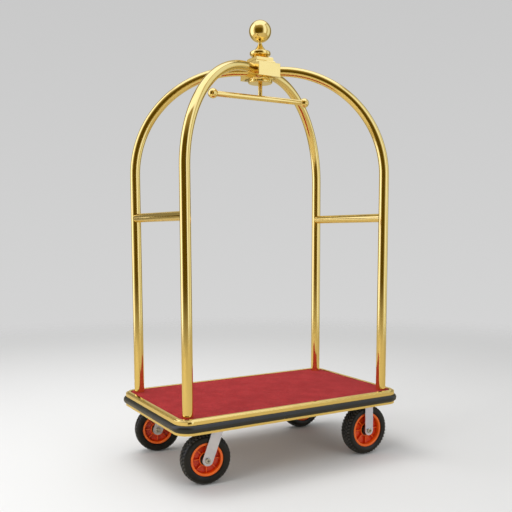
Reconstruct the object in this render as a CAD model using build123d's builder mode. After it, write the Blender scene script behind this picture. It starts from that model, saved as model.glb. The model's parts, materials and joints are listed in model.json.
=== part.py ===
import os
from math import atan, hypot, pi, tan

from build123d import *

# Hotel luggage cart: a carpeted deck on four casters, four tall posts that bend over and meet at a
# hub in the middle, a hanging rail under the hub and a ball on top of it.
# Millimetres, +Z up. The origin is on the floor under the middle of the deck. X runs along the deck,
# with the swivel casters at the -X end and the fixed casters at the +X end. -Y is the front.

# ---- driving dimensions: deck
deck_length = 1056
deck_width = 624
deck_corner_radius = 58
carpet_thickness = 5
board_thickness = 18
board_inset = 12  # from the outer face of the trim to the edge of the board
trim_wall = 3
trim_cover = 21  # width of the trim over the board, up to the carpet
trim_step = 8  # width of the lower outer step of the trim
trim_rise = 2  # how far the trim stands above the carpet
trim_drop = 17  # carpet down to the bumper
bumper_height = 30
bumper_bulge = 10
bumper_rounding = 14
lower_trim_height = 9
rail_width = 12
rail_height = 20
beam_width = 118
beam_thickness = 6

# ---- driving dimensions: posts and cross bars
post_inset_x = 58  # edge of the deck to the axis of a post
post_inset_y = 60
post_diameter = 42.4
post_wall = 2
post_lean = 12.5  # outward lean of a post per metre of height
level_run = 49  # straight stretch of each tube between its bend and its end in the hub
tube_end_gap = 1  # between the ends of neighbouring tubes in the hub
crossbar_drop = 187  # below the start of the bends
crossbar_diameter = 38
crossbar_wall = 2
plug_height = 30
post_stud_diameter = 12
post_stud_reach = 16  # below the board
washer_thickness = 3
washer_diameter = 30

# ---- driving dimensions: hub, finial and hanging rail
hub_height = 1670  # floor to the centre line of the tubes where they meet the hub
hub_cover = 2.8  # hub above the tubes
hub_length = 108
hub_width = 160
hub_drop = 8.8  # hub below the tubes
hub_wall = 6
hub_edge_radius = 1.5
cap_side = 97
cap_step_side = 84
cap_step_height = 16.5
cap_bevel = 4
collar_foot_diameter = 66
collar_foot_height = 9
collar_diameter = 91
collar_height = 20
collar_rounding = 8
bell_diameter = 54
bell_foot = 4
bell_height = 33
neck_diameter = 16
neck_height = 6
ball_diameter = 97
ball_wall = 3
underplate_cover = 3
underplate_side = 98
underplate_step = 9
underplate_disc_diameter = 106
underplate_disc_height = 14
underplate_rounding = 5
stem_diameter = 12
stem_reach = 9  # into the ball
rod_diameter = 18
hanging_rail_drop = 116  # below the centre line of the tubes
hanging_rail_diameter = 24
hanging_rail_wall = 2
hanging_rail_reach = 231  # axis of the hub to the centre of each end ball
end_ball_diameter = 43
end_ball_socket = 9

# ---- driving dimensions: wheels
wheel_radius = {"swivel": 99, "fixed": 108}
rim_radius = {"swivel": 65, "fixed": 74}
tyre_width = 62
tread_shoulder = 5  # fall of the tread from its middle to its shoulder
shoulder_inset = 4
tyre_seat = 6  # depth of the tyre's seat below the lip of the rim
lip_width = 9
lip_reach = 26  # from the middle of the wheel to the face of the rim
barrel_wall = 5
web_thickness = 8
hub_reach = 28
wheel_hub_radius = 21
boss_radius = 29
boss_wall = 4
boss_reach = 18
rib_count = 8
rib_thickness = 4
rib_reach = 14
bearing_diameter = 35
bearing_bore = 15
bearing_width = 11
bearing_shoulder_bore = 24

# ---- driving dimensions: casters
caster_inset_x = {"swivel": 182, "fixed": 150}  # edge of the deck to the middle of the plate
caster_inset_y = {"swivel": 72, "fixed": 64}
trail = 43  # swivel axis to axle
rest_turn = {"front": -10, "back": -18}  # how the swivel casters stand at rest
tyre_gap = 3.5  # tyre to fork leg
tyre_headroom = 18  # tyre to the underside of the crown, or more
fork_leg_width = 42
fork_thickness = 4
fork_crown_length = 66
fork_bend = 3
plate_length = 105
plate_width = {"swivel": 85, "fixed": 68}
plate_thickness = 5
plate_corner = 8
bolt_spacing_x = 82
bolt_spacing_y = {"swivel": 62, "fixed": 44}
bolt_diameter = 8
bolt_head_width = 13
bolt_head_height = 5.3
bolt_bite = 13  # how far a caster bolt reaches into the board
axle_diameter = 12
axle_head_diameter = 23
axle_head_height = 6
axle_socket_width = 9
axle_socket_depth = 8
spacer_diameter = 22
kingpin_diameter = 12
kingpin_head_diameter = 20
kingpin_head_height = 4
thread_tail = 2  # how far a bolt stands out of its nut
nut_width = 19
nut_height = 10
race_radius = 24
race_band = 12
race_height = 5
race_spacing = 6
race_ball_diameter = 8
race_ball_count = 14

# ---- fits
fit_gap = 0.05  # pieces of one body that seat on each other, and shafts that run in a bore
bolt_gap = 0.3  # bolt in its hole
move_gap = 0.3  # faces that slide or turn past each other
plug_gap = 0.4  # upright plug in a tube that leans a little

# ---- worked out from the stack of the casters and the deck, from the floor up
race_stack = {"swivel": 2 * race_height + race_spacing, "fixed": 0}
plate_bottom = max(
    2 * radius + tyre_headroom + fork_thickness + race_stack[kind] for kind, radius in wheel_radius.items()
)
plate_top = plate_bottom + plate_thickness
board_bottom = plate_top + beam_thickness
board_top = board_bottom + board_thickness
deck_height = board_top + carpet_thickness
bumper_top = deck_height - trim_drop
bumper_bottom = bumper_top - bumper_height
lower_trim_bottom = bumper_bottom - lower_trim_height
rail_bottom = board_bottom - rail_height
rail_inset = board_inset + rail_width
race_middle = plate_bottom - race_height - race_spacing / 2
crown_top = {kind: plate_bottom - stack for kind, stack in race_stack.items()}

# ---- worked out from the posts
post_x = deck_length / 2 - post_inset_x
post_y = deck_width / 2 - post_inset_y
post_radius = post_diameter / 2
post_reach = hypot(post_x, post_y)
post_spread = post_reach + post_lean * (hub_height - deck_height) / 1000
tube_end_reach = (post_radius + tube_end_gap / 2) * post_reach / min(post_x, post_y)
half_bend = pi / 4 + atan(post_lean / 1000) / 2
bend_radius = (post_spread - tube_end_reach - level_run) / tan(half_bend)
crossbar_height = hub_height - bend_radius - crossbar_drop
hanging_rail_height = hub_height - hanging_rail_drop

# ---- worked out from the stack of the hub
hub_top = hub_height + post_radius + hub_cover
hub_bottom = hub_height - post_radius - hub_drop
hub_depth = hub_top - hub_bottom
cap_top = hub_top + 2 * cap_step_height
collar_top = cap_top + collar_foot_height + collar_height
bell_top = collar_top + bell_height
ball_seat = bell_top + neck_height
ball_middle = ball_seat + ((ball_diameter / 2) ** 2 - (neck_diameter / 2) ** 2) ** 0.5
underplate_bottom = hub_bottom - underplate_step - underplate_disc_height

stem_bore = stem_diameter / 2 + fit_gap
fork_inner = tyre_width / 2 + tyre_gap
fork_outer = fork_inner + fork_thickness
axle_x = {"swivel": -trail, "fixed": 0}

sides = (("front", -1), ("back", 1))
ends = (("left", -1), ("right", 1))
caster_side = {"swivel": -1, "fixed": 1}  # the end of the deck that each kind is at
caster_x = {kind: caster_side[kind] * (deck_length / 2 - inset) for kind, inset in caster_inset_x.items()}
caster_y = {kind: deck_width / 2 - inset for kind, inset in caster_inset_y.items()}
bolt_places = {
    kind: [
        (caster_x[kind] + dx / 2, side_sign * caster_y[kind] + dy / 2)
        for _, side_sign in sides
        for dx in (-bolt_spacing_x, bolt_spacing_x)
        for dy in (-bolt_spacing_y[kind], bolt_spacing_y[kind])
    ]
    for kind in caster_side
}
all_bolt_places = bolt_places["swivel"] + bolt_places["fixed"]

os.makedirs("parts", exist_ok=True)


def lean_at(height):
    """How far a post has leant outwards at a height above the floor."""
    return post_lean * (height - deck_height) / 1000


def post_route(heading):
    """Centre line of a post: up from inside the deck, one bend, and level into the hub."""
    foot = board_top - carpet_thickness
    with BuildLine(Plane((0, 0, 0), x_dir=heading, z_dir=heading.cross(Vector(0, 0, 1)))) as route:
        FilletPolyline(
            (post_reach + lean_at(foot), foot),
            (post_spread, hub_height),
            (tube_end_reach, hub_height),
            radius=bend_radius,
        )
    return route.line


def edge_band(outer_inset, inner_inset, height):
    """A flat band that follows the edge of the deck between two insets from the trim's face."""
    with BuildSketch(Plane.XY.offset(height)) as band:
        for inset, mode in ((outer_inset, Mode.ADD), (inner_inset, Mode.SUBTRACT)):
            RectangleRounded(
                deck_length - 2 * inset,
                deck_width - 2 * inset,
                deck_corner_radius - inset,
                mode=mode,
            )
    return band.sketch


def board_outline(inset, height):
    """The outline of the deck, drawn inwards by inset."""
    with BuildSketch(Plane.XY.offset(height)) as outline:
        RectangleRounded(deck_length - 2 * inset, deck_width - 2 * inset, deck_corner_radius - inset)
    return outline.sketch


# ---- the outside of each post, cut out of every piece that a post passes through or meets
post_heading = {}
post_cutter = {}
for end, end_sign in ends:
    for side, side_sign in sides:
        heading = Vector(end_sign * post_x, side_sign * post_y, 0).normalized()
        centre_line = post_route(heading)
        with BuildPart() as cutter:
            with BuildSketch(Plane(centre_line @ 0, z_dir=centre_line % 0)):
                Circle(post_radius + fit_gap)
            sweep(path=centre_line)
        post_heading[side, end] = heading
        post_cutter[side, end] = cutter.part

# ---- deck
with BuildPart() as carpet:
    extrude(board_outline(trim_cover + fit_gap, board_top), amount=carpet_thickness)
    for cutter in post_cutter.values():
        add(cutter, mode=Mode.SUBTRACT)
carpet.part.label = "carpet"
export_step(carpet.part, "parts/carpet.step")

with BuildPart() as deck_board:
    extrude(board_outline(board_inset, board_bottom), amount=board_thickness)
    with BuildSketch(Plane.XY.offset(board_bottom)):
        with GridLocations(2 * post_x, 2 * post_y, 2, 2):
            Circle(post_stud_diameter / 2 + bolt_gap)
    extrude(amount=board_thickness, mode=Mode.SUBTRACT)
    with BuildSketch(Plane.XY.offset(board_bottom)):
        with Locations(*all_bolt_places):
            Circle(bolt_diameter / 2 + bolt_gap)
    extrude(amount=bolt_bite + bolt_gap, mode=Mode.SUBTRACT)
deck_board.part.label = "deck_board"
export_step(deck_board.part, "parts/deck_board.step")

# One bent section: a raised band beside the carpet, a lower step outside it, a face down to the
# bumper and a return over the bumper.
with BuildPart() as top_trim:
    step_top = board_top + trim_wall
    extrude(board_outline(0, bumper_top), amount=step_top - bumper_top)
    fillet(top_trim.edges().group_by(Axis.Z)[-1], radius=trim_step / 4)
    extrude(board_outline(trim_step, bumper_top), amount=step_top - bumper_top, mode=Mode.SUBTRACT)
    extrude(
        board_outline(trim_wall, bumper_top + trim_wall),
        amount=board_top - bumper_top - trim_wall,
        mode=Mode.SUBTRACT,
    )
    extrude(edge_band(trim_wall, board_inset - fit_gap, bumper_top), amount=trim_wall)
    extrude(edge_band(trim_step, trim_cover, board_top), amount=carpet_thickness + trim_rise)
    fillet(top_trim.edges().group_by(Axis.Z)[-1], radius=trim_wall / 2)
top_trim.part.label = "top_trim"
export_step(top_trim.part, "parts/top_trim.step")

with BuildPart() as bumper:
    extrude(board_outline(-bumper_bulge, bumper_bottom), amount=bumper_height)
    fillet(bumper.edges().group_by(Axis.Z)[0] + bumper.edges().group_by(Axis.Z)[-1], radius=bumper_rounding)
    extrude(board_outline(board_inset - fit_gap, bumper_bottom), amount=bumper_height, mode=Mode.SUBTRACT)
bumper.part.label = "bumper"
export_step(bumper.part, "parts/bumper.step")

# A channel under the bumper, with a web and a flange up under the rails of the frame.
with BuildPart() as bottom_trim:
    web_inset = board_inset + trim_wall
    extrude(edge_band(0, web_inset, lower_trim_bottom), amount=trim_wall)
    extrude(edge_band(0, trim_wall, lower_trim_bottom), amount=lower_trim_height)
    extrude(edge_band(board_inset, web_inset, lower_trim_bottom), amount=rail_bottom - lower_trim_bottom)
    extrude(edge_band(board_inset, rail_inset, rail_bottom - trim_wall), amount=trim_wall)
bottom_trim.part.label = "bottom_trim"
export_step(bottom_trim.part, "parts/bottom_trim.step")

# Straight bars under the edge of the board. They stop where its corners start to turn.
rail_middle = {
    "x": deck_length / 2 - board_inset - rail_width / 2,
    "y": deck_width / 2 - board_inset - rail_width / 2,
    "z": rail_bottom + rail_height / 2,
}
for side, side_sign in sides:
    with BuildPart() as frame_rail:
        with Locations((0, side_sign * rail_middle["y"], rail_middle["z"])):
            Box(deck_length - 2 * deck_corner_radius, rail_width, rail_height)
    frame_rail.part.label = f"frame_rail_{side}"
    export_step(frame_rail.part, f"parts/frame_rail_{side}.step")
for end, end_sign in ends:
    with BuildPart() as frame_rail:
        with Locations((end_sign * rail_middle["x"], 0, rail_middle["z"])):
            Box(rail_width, deck_width - 2 * deck_corner_radius, rail_height)
    frame_rail.part.label = f"frame_rail_{end}"
    export_step(frame_rail.part, f"parts/frame_rail_{end}.step")

for end, kind in (("left", "swivel"), ("right", "fixed")):
    with BuildPart() as caster_beam:
        with Locations((caster_x[kind], 0, board_bottom - beam_thickness / 2)):
            Box(beam_width, deck_width - 2 * (rail_inset + fit_gap), beam_thickness)
        with BuildSketch(Plane.XY.offset(plate_top)):
            with Locations(*bolt_places[kind]):
                Circle(bolt_diameter / 2 + bolt_gap)
        extrude(amount=beam_thickness, mode=Mode.SUBTRACT)
    caster_beam.part.label = f"caster_beam_{end}"
    export_step(caster_beam.part, f"parts/caster_beam_{end}.step")

with BuildPart() as caster_bolts:
    with BuildSketch(Plane.XY.offset(plate_bottom)):
        with Locations(*all_bolt_places):
            RegularPolygon(bolt_head_width / 2, 6, major_radius=False)
    extrude(amount=-bolt_head_height)
    with BuildSketch(Plane.XY.offset(plate_bottom)):
        with Locations(*all_bolt_places):
            Circle(bolt_diameter / 2)
    extrude(amount=board_bottom + bolt_bite - plate_bottom)
caster_bolts.part.label = "caster_bolts"
export_step(caster_bolts.part, "parts/caster_bolts.step")

# ---- posts and cross bars
for (side, end), heading in post_heading.items():
    centre_line = post_route(heading)
    with BuildPart() as post:
        with BuildSketch(Plane(centre_line @ 0, z_dir=centre_line % 0)):
            Circle(post_radius)
            Circle(post_radius - post_wall, mode=Mode.SUBTRACT)
        sweep(path=centre_line)
        split(bisect_by=Plane.XY.offset(board_top), keep=Keep.TOP)
    post.part.label = f"post_{side}_{end}"
    export_step(post.part, f"parts/post_{side}_{end}.step")

with BuildPart() as post_plugs:
    with BuildSketch(Plane.XY.offset(board_top)):
        with GridLocations(2 * post_x, 2 * post_y, 2, 2):
            Circle(post_radius - post_wall - plug_gap)
    extrude(amount=plug_height)
    with BuildSketch(Plane.XY.offset(board_top)):
        with GridLocations(2 * post_x, 2 * post_y, 2, 2):
            Circle(post_stud_diameter / 2)
    extrude(amount=-board_thickness - post_stud_reach)
post_plugs.part.label = "post_plugs"
export_step(post_plugs.part, "parts/post_plugs.step")

with BuildPart() as post_nuts:
    with BuildSketch(Plane.XY.offset(board_bottom)):
        with GridLocations(2 * post_x, 2 * post_y, 2, 2):
            Circle(washer_diameter / 2)
            Circle(post_stud_diameter / 2 + bolt_gap, mode=Mode.SUBTRACT)
    extrude(amount=-washer_thickness)
    with BuildSketch(Plane.XY.offset(board_bottom - washer_thickness - fit_gap)):
        with GridLocations(2 * post_x, 2 * post_y, 2, 2):
            RegularPolygon(nut_width / 2, 6, major_radius=False)
            Circle(post_stud_diameter / 2 + fit_gap, mode=Mode.SUBTRACT)
    extrude(amount=-nut_height)
post_nuts.part.label = "post_nuts"
export_step(post_nuts.part, "parts/post_nuts.step")

# A bar joins the two posts at each end of the deck, coped to fit them.
crossbar_spread = 1 + lean_at(crossbar_height) / post_reach
for end, end_sign in ends:
    with BuildPart() as crossbar:
        with BuildSketch(Plane.XZ):
            with Locations((end_sign * post_x * crossbar_spread, crossbar_height)):
                Circle(crossbar_diameter / 2)
                Circle(crossbar_diameter / 2 - crossbar_wall, mode=Mode.SUBTRACT)
        extrude(amount=post_y * crossbar_spread, both=True)
        for side, side_sign in sides:
            add(post_cutter[side, end], mode=Mode.SUBTRACT)
    crossbar.part.label = f"crossbar_{end}"
    export_step(crossbar.part, f"parts/crossbar_{end}.step")

# ---- hub
with BuildPart() as hub_block:
    with BuildSketch(Plane.XY.offset(hub_bottom)):
        Rectangle(hub_length, hub_width)
    extrude(amount=hub_depth)
    fillet(hub_block.edges().filter_by(Axis.Z), radius=hub_edge_radius)
    fillet(hub_block.edges().group_by(Axis.Z)[-1], radius=hub_edge_radius)
    with BuildSketch(Plane.XY.offset(hub_bottom)):
        Rectangle(hub_length - 2 * hub_wall, hub_width - 2 * hub_wall)
    extrude(amount=hub_depth - hub_wall, mode=Mode.SUBTRACT)
    for cutter in post_cutter.values():
        add(cutter, mode=Mode.SUBTRACT)
    with BuildSketch(Plane.XY.offset(hub_top)):
        Circle(stem_bore)
    extrude(amount=-hub_wall, mode=Mode.SUBTRACT)
hub_block.part.label = "hub_block"
export_step(hub_block.part, "parts/hub_block.step")

with BuildPart() as hub_cap:
    for level, width in ((hub_top, cap_side), (hub_top + cap_step_height, cap_step_side)):
        with BuildSketch(Plane.XY.offset(level)):
            Rectangle(width, width)
        extrude(amount=cap_step_height)
        chamfer(hub_cap.edges().group_by(Axis.Z)[-1], length=cap_bevel)
    with BuildSketch(Plane.XY.offset(hub_top)):
        Circle(stem_bore)
    extrude(amount=2 * cap_step_height, mode=Mode.SUBTRACT)
hub_cap.part.label = "hub_cap"
export_step(hub_cap.part, "parts/hub_cap.step")

with BuildPart() as hub_underplate:
    with BuildSketch(Plane.XY.offset(hub_bottom)):
        Rectangle(hub_length, hub_width)
    extrude(amount=-underplate_cover)
    with BuildSketch(Plane.XY.offset(hub_bottom)):
        Rectangle(underplate_side, underplate_side)
    extrude(amount=-underplate_step)
    with BuildSketch(Plane.XY.offset(underplate_bottom)):
        Circle(underplate_disc_diameter / 2)
    extrude(amount=underplate_disc_height)
    fillet(hub_underplate.edges().group_by(Axis.Z)[0], radius=underplate_rounding)
    with BuildSketch(Plane.XY.offset(hub_bottom)):
        Circle(stem_bore)
    extrude(amount=underplate_bottom - hub_bottom, mode=Mode.SUBTRACT)
hub_underplate.part.label = "hub_underplate"
export_step(hub_underplate.part, "parts/hub_underplate.step")

# ---- finial
with BuildPart() as finial_collar:
    with BuildSketch(Plane.XY.offset(cap_top)):
        Circle(collar_foot_diameter / 2)
    extrude(amount=collar_foot_height)
    with BuildSketch(Plane.XY.offset(cap_top + collar_foot_height)):
        Circle(collar_diameter / 2)
    extrude(amount=collar_height)
    fillet(finial_collar.edges().sort_by(SortBy.LENGTH)[-2:], radius=collar_rounding)
    with BuildSketch(Plane.XY.offset(cap_top)):
        Circle(stem_bore)
    extrude(amount=collar_top - cap_top, mode=Mode.SUBTRACT)
finial_collar.part.label = "finial_collar"
export_step(finial_collar.part, "parts/finial_collar.step")

with BuildPart() as finial_bell:
    with BuildSketch(Plane.XZ):
        with BuildLine():
            Polyline(
                (neck_diameter / 2, bell_top),
                (neck_diameter / 2, ball_seat),
                (stem_bore, ball_seat),
                (stem_bore, collar_top),
                (bell_diameter / 2, collar_top),
                (bell_diameter / 2, collar_top + bell_foot),
            )
            Spline(
                (bell_diameter / 2, collar_top + bell_foot),
                (neck_diameter / 2, bell_top),
                tangents=((-1, 1.1), (-0.3, 1)),
            )
        make_face()
    revolve(axis=Axis.Z)
finial_bell.part.label = "finial_bell"
export_step(finial_bell.part, "parts/finial_bell.step")

with BuildPart() as finial_ball:
    with Locations((0, 0, ball_middle)):
        Sphere(ball_diameter / 2)
        Sphere(ball_diameter / 2 - ball_wall, mode=Mode.SUBTRACT)
    split(bisect_by=Plane.XY.offset(ball_seat), keep=Keep.TOP)
    with BuildSketch(Plane.XY.offset(ball_seat)):
        Circle(stem_bore)
    extrude(amount=ball_diameter / 2, mode=Mode.SUBTRACT)
finial_ball.part.label = "finial_ball"
export_step(finial_ball.part, "parts/finial_ball.step")

# ---- hanging rail
# One turned rod: thick below the hub, then a thinner stem up through the hub and into the ball.
with BuildPart() as hanger_rod:
    with BuildSketch(Plane.XY.offset(hanging_rail_height)):
        Circle(rod_diameter / 2)
    extrude(amount=underplate_bottom - hanging_rail_height)
    with BuildSketch(Plane.XY.offset(underplate_bottom)):
        Circle(stem_diameter / 2)
    extrude(amount=ball_seat + stem_reach - underplate_bottom)
    with BuildSketch(Plane.YZ):
        with Locations((0, hanging_rail_height)):
            Circle(hanging_rail_diameter / 2 + fit_gap)
    extrude(amount=rod_diameter, both=True, mode=Mode.SUBTRACT)
hanger_rod.part.label = "hanger_rod"
export_step(hanger_rod.part, "parts/hanger_rod.step")

rail_end = hanging_rail_reach - end_ball_diameter / 2 + end_ball_socket
with BuildPart() as hanging_rail:
    with BuildSketch(Plane.YZ):
        with Locations((0, hanging_rail_height)):
            Circle(hanging_rail_diameter / 2)
            Circle(hanging_rail_diameter / 2 - hanging_rail_wall, mode=Mode.SUBTRACT)
    extrude(amount=rail_end, both=True)
hanging_rail.part.label = "hanging_rail"
export_step(hanging_rail.part, "parts/hanging_rail.step")

with BuildPart() as rail_end_balls:
    with Locations(*[(sign * hanging_rail_reach, 0, hanging_rail_height) for _, sign in ends]):
        Sphere(end_ball_diameter / 2)
    with BuildSketch(Plane.YZ):
        with Locations((0, hanging_rail_height)):
            Circle(hanging_rail_diameter / 2 + fit_gap)
    extrude(amount=rail_end + fit_gap, both=True, mode=Mode.SUBTRACT)
rail_end_balls.part.label = "rail_end_balls"
export_step(rail_end_balls.part, "parts/rail_end_balls.step")

# ---- swivel casters, drawn with the swivel axis on Z and the wheel trailing towards -X
with BuildPart() as swivel_plate:
    with BuildSketch(Plane.XY.offset(plate_bottom)):
        RectangleRounded(plate_length, plate_width["swivel"], plate_corner)
        with GridLocations(bolt_spacing_x, bolt_spacing_y["swivel"], 2, 2):
            Circle(bolt_diameter / 2 + bolt_gap, mode=Mode.SUBTRACT)
    extrude(amount=plate_thickness)
    with BuildSketch(Plane.XY.offset(plate_bottom)):
        Circle(race_radius + race_band / 2)
        Circle(race_radius - race_band / 2, mode=Mode.SUBTRACT)
    extrude(amount=-race_height)
    with Locations((0, 0, race_middle)):
        Torus(race_radius, race_ball_diameter / 2 + move_gap, mode=Mode.SUBTRACT)
    with BuildSketch(Plane.XY.offset(plate_top)):
        Circle(kingpin_head_diameter / 2 + fit_gap)
    extrude(amount=-kingpin_head_height, mode=Mode.SUBTRACT)
    with BuildSketch(Plane.XY.offset(plate_top)):
        Circle(kingpin_diameter / 2 + fit_gap)
    extrude(amount=-plate_thickness, mode=Mode.SUBTRACT)

with BuildPart() as kingpin:
    crown_bottom = crown_top["swivel"] - fork_thickness
    with BuildSketch(Plane.XY.offset(plate_top)):
        Circle(kingpin_head_diameter / 2)
    extrude(amount=-kingpin_head_height)
    with BuildSketch(Plane.XY.offset(plate_top)):
        Circle(kingpin_diameter / 2)
    extrude(amount=crown_bottom - move_gap - nut_height - thread_tail - plate_top)
    with BuildSketch(Plane.XY.offset(crown_bottom - move_gap)):
        RegularPolygon(nut_width / 2, 6, major_radius=False)
        Circle(kingpin_diameter / 2 + fit_gap, mode=Mode.SUBTRACT)
    extrude(amount=-nut_height)

with BuildPart() as swivel_balls:
    with Locations((0, 0, race_middle)):
        with PolarLocations(race_radius, race_ball_count):
            Sphere(race_ball_diameter / 2)

# ---- forks: a crown with two legs down to the axle
forks = {}
for kind in ("swivel", "fixed"):
    crown_level = crown_top[kind]
    with BuildPart() as fork:
        with BuildSketch(Plane.XZ):
            with Locations((axle_x[kind], wheel_radius[kind])):
                Circle(fork_leg_width / 2)
            with Locations((0, crown_level - fork_thickness)):
                Rectangle(fork_leg_width, 2 * fork_thickness)
            make_hull()
        extrude(amount=fork_outer, both=True)
        with Locations((0, 0, (crown_level - fork_thickness) / 2)):
            Box(4 * trail + 2 * fork_leg_width, 2 * fork_inner, crown_level - fork_thickness, mode=Mode.SUBTRACT)
        with Locations((0, 0, crown_level - fork_thickness / 2)):
            Box(fork_crown_length, 2 * fork_outer, fork_thickness)
        bend_edges = fork.edges().filter_by(Axis.X).group_by(Axis.Z)[-1]
        fillet(bend_edges, radius=fork_bend)
        with BuildSketch(Plane.XZ.offset(fork_outer)):
            with Locations((axle_x[kind], wheel_radius[kind])):
                Circle(axle_diameter / 2 + fit_gap)
        extrude(amount=-2 * fork_outer, mode=Mode.SUBTRACT)
        if kind == "swivel":
            with BuildSketch(Plane.XY.offset(crown_level)):
                Circle(race_radius + race_band / 2)
                Circle(race_radius - race_band / 2, mode=Mode.SUBTRACT)
            extrude(amount=race_height)
            with Locations((0, 0, race_middle)):
                Torus(race_radius, race_ball_diameter / 2 + move_gap, mode=Mode.SUBTRACT)
            with BuildSketch(Plane.XY.offset(crown_level)):
                Circle(kingpin_diameter / 2 + fit_gap)
            extrude(amount=-fork_thickness, mode=Mode.SUBTRACT)
        else:
            with BuildSketch(Plane.XY.offset(plate_bottom)):
                RectangleRounded(plate_length, plate_width["fixed"], plate_corner)
                with GridLocations(bolt_spacing_x, bolt_spacing_y["fixed"], 2, 2):
                    Circle(bolt_diameter / 2 + bolt_gap, mode=Mode.SUBTRACT)
            extrude(amount=plate_thickness)
    forks[kind] = fork.part

# ---- axle pieces, drawn with the axle on Y through the origin and the head of the bolt in front
with BuildPart() as axle_bolt:
    with BuildSketch(Plane.XZ.offset(fork_outer)):
        Circle(axle_head_diameter / 2)
    extrude(amount=axle_head_height)
    fillet(axle_bolt.edges().group_by(Axis.Y)[0], radius=axle_head_height / 2)
    with BuildSketch(Plane.XZ.offset(fork_outer)):
        Circle(axle_diameter / 2)
    extrude(amount=-2 * fork_outer - nut_height - thread_tail)
    with BuildSketch(Plane.XZ.offset(fork_outer + axle_head_height)):
        RegularPolygon(axle_socket_width / 2, 6, major_radius=False)
    extrude(amount=-axle_socket_depth, mode=Mode.SUBTRACT)
    with BuildSketch(Plane.XZ.offset(-fork_outer)):
        RegularPolygon(nut_width / 2, 6, major_radius=False)
        Circle(axle_diameter / 2 + fit_gap, mode=Mode.SUBTRACT)
    extrude(amount=-nut_height)

with BuildPart() as axle_sleeve:
    with BuildSketch(Plane.XZ):
        Circle(bearing_bore / 2 - fit_gap)
        Circle(axle_diameter / 2 + fit_gap, mode=Mode.SUBTRACT)
    extrude(amount=fork_inner, both=True)
    for _, sign in sides:
        with BuildSketch(Plane.XZ.offset(sign * fork_inner)):
            Circle(spacer_diameter / 2)
            Circle(bearing_bore / 2, mode=Mode.SUBTRACT)
        extrude(amount=-sign * (fork_inner - hub_reach - move_gap))

# ---- wheels, drawn with the axle on Y through the origin
wheel_shapes = {}
for kind in ("swivel", "fixed"):
    tread = wheel_radius[kind]
    lip = rim_radius[kind]
    seat = lip - tyre_seat
    barrel_inner = seat - barrel_wall
    bearing_seat = bearing_diameter / 2 + fit_gap
    bearing_stop = hub_reach - bearing_width - fit_gap
    tyre_bead = lip_reach - barrel_wall - fit_gap
    shoulder = (tyre_width / 2 - shoulder_inset, tread - tread_shoulder)
    bulge = (tyre_width / 2, (lip + tread) / 2)

    with BuildPart() as rim:
        with BuildSketch(Plane.YZ):
            with Locations((0, seat - barrel_wall / 2)):
                Rectangle(2 * lip_reach, barrel_wall)
            with Locations(*[(sign * (lip_reach - barrel_wall / 2), lip - lip_width / 2) for _, sign in sides]):
                Rectangle(barrel_wall, lip_width)
            with Locations((0, (wheel_hub_radius + barrel_inner) / 2)):
                Rectangle(web_thickness, barrel_inner - wheel_hub_radius + barrel_wall)
            with Locations((0, (bearing_seat + wheel_hub_radius) / 2)):
                Rectangle(2 * hub_reach, wheel_hub_radius - bearing_seat)
            with Locations((0, (bearing_shoulder_bore / 2 + wheel_hub_radius) / 2)):
                Rectangle(2 * bearing_stop, wheel_hub_radius - bearing_shoulder_bore / 2)
            with Locations((0, boss_radius - boss_wall / 2)):
                Rectangle(2 * boss_reach, boss_wall)
        revolve(axis=Axis.Y)
        with BuildSketch(Plane.XZ):
            with PolarLocations((boss_radius + barrel_inner) / 2, rib_count):
                Rectangle(barrel_inner - boss_radius + boss_wall, rib_thickness)
        extrude(amount=rib_reach, both=True)

    with BuildPart() as tyre:
        with BuildSketch(Plane.YZ):
            with BuildLine():
                Polyline(
                    (-lip_reach, lip + fit_gap),
                    (-tyre_bead, lip + fit_gap),
                    (-tyre_bead, seat + fit_gap),
                    (tyre_bead, seat + fit_gap),
                    (tyre_bead, lip + fit_gap),
                    (lip_reach, lip + fit_gap),
                )
                ThreePointArc((lip_reach, lip + fit_gap), bulge, shoulder)
                ThreePointArc(shoulder, (0, tread), (-shoulder[0], shoulder[1]))
                ThreePointArc((-shoulder[0], shoulder[1]), (-bulge[0], bulge[1]), (-lip_reach, lip + fit_gap))
            make_face()
        revolve(axis=Axis.Y)

    with BuildPart() as bearings:
        for _, sign in sides:
            with BuildSketch(Plane.XZ.offset(sign * hub_reach)):
                Circle(bearing_diameter / 2)
                Circle(bearing_bore / 2, mode=Mode.SUBTRACT)
            extrude(amount=-sign * bearing_width)

    wheel_shapes[kind] = {"rim": rim.part, "tyre": tyre.part, "wheel_bearings": bearings.part}

# ---- every caster in its place, as separate pieces
for side, side_sign in sides:
    plate_place = Location((caster_x["swivel"], side_sign * caster_y["swivel"], 0))
    turned_place = plate_place * Location((0, 0, 0), (0, 0, rest_turn[side]))
    fixed_place = Location((caster_x["fixed"], side_sign * caster_y["fixed"], 0))
    placed_pieces = {
        f"swivel_plate_{side}": (swivel_plate.part, plate_place),
        f"kingpin_{side}": (kingpin.part, plate_place),
        f"swivel_balls_{side}": (swivel_balls.part, turned_place),
        f"swivel_fork_{side}": (forks["swivel"], turned_place),
        f"fixed_fork_{side}": (forks["fixed"], fixed_place),
    }
    for end, kind, caster_place in (("left", "swivel", turned_place), ("right", "fixed", fixed_place)):
        axle_place = caster_place * Location((axle_x[kind], 0, wheel_radius[kind]))
        placed_pieces[f"axle_bolt_{side}_{end}"] = (axle_bolt.part, axle_place)
        placed_pieces[f"axle_sleeve_{side}_{end}"] = (axle_sleeve.part, axle_place)
        for name, shape in wheel_shapes[kind].items():
            placed_pieces[f"{name}_{side}_{end}"] = (shape, axle_place)
    for name, (shape, place) in placed_pieces.items():
        with BuildPart() as placed:
            with Locations(place):
                add(shape)
        placed.part.label = name
        export_step(placed.part, f"parts/{name}.step")
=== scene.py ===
import json
from math import atan2, cos, hypot, pi, radians, sin, tan

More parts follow.
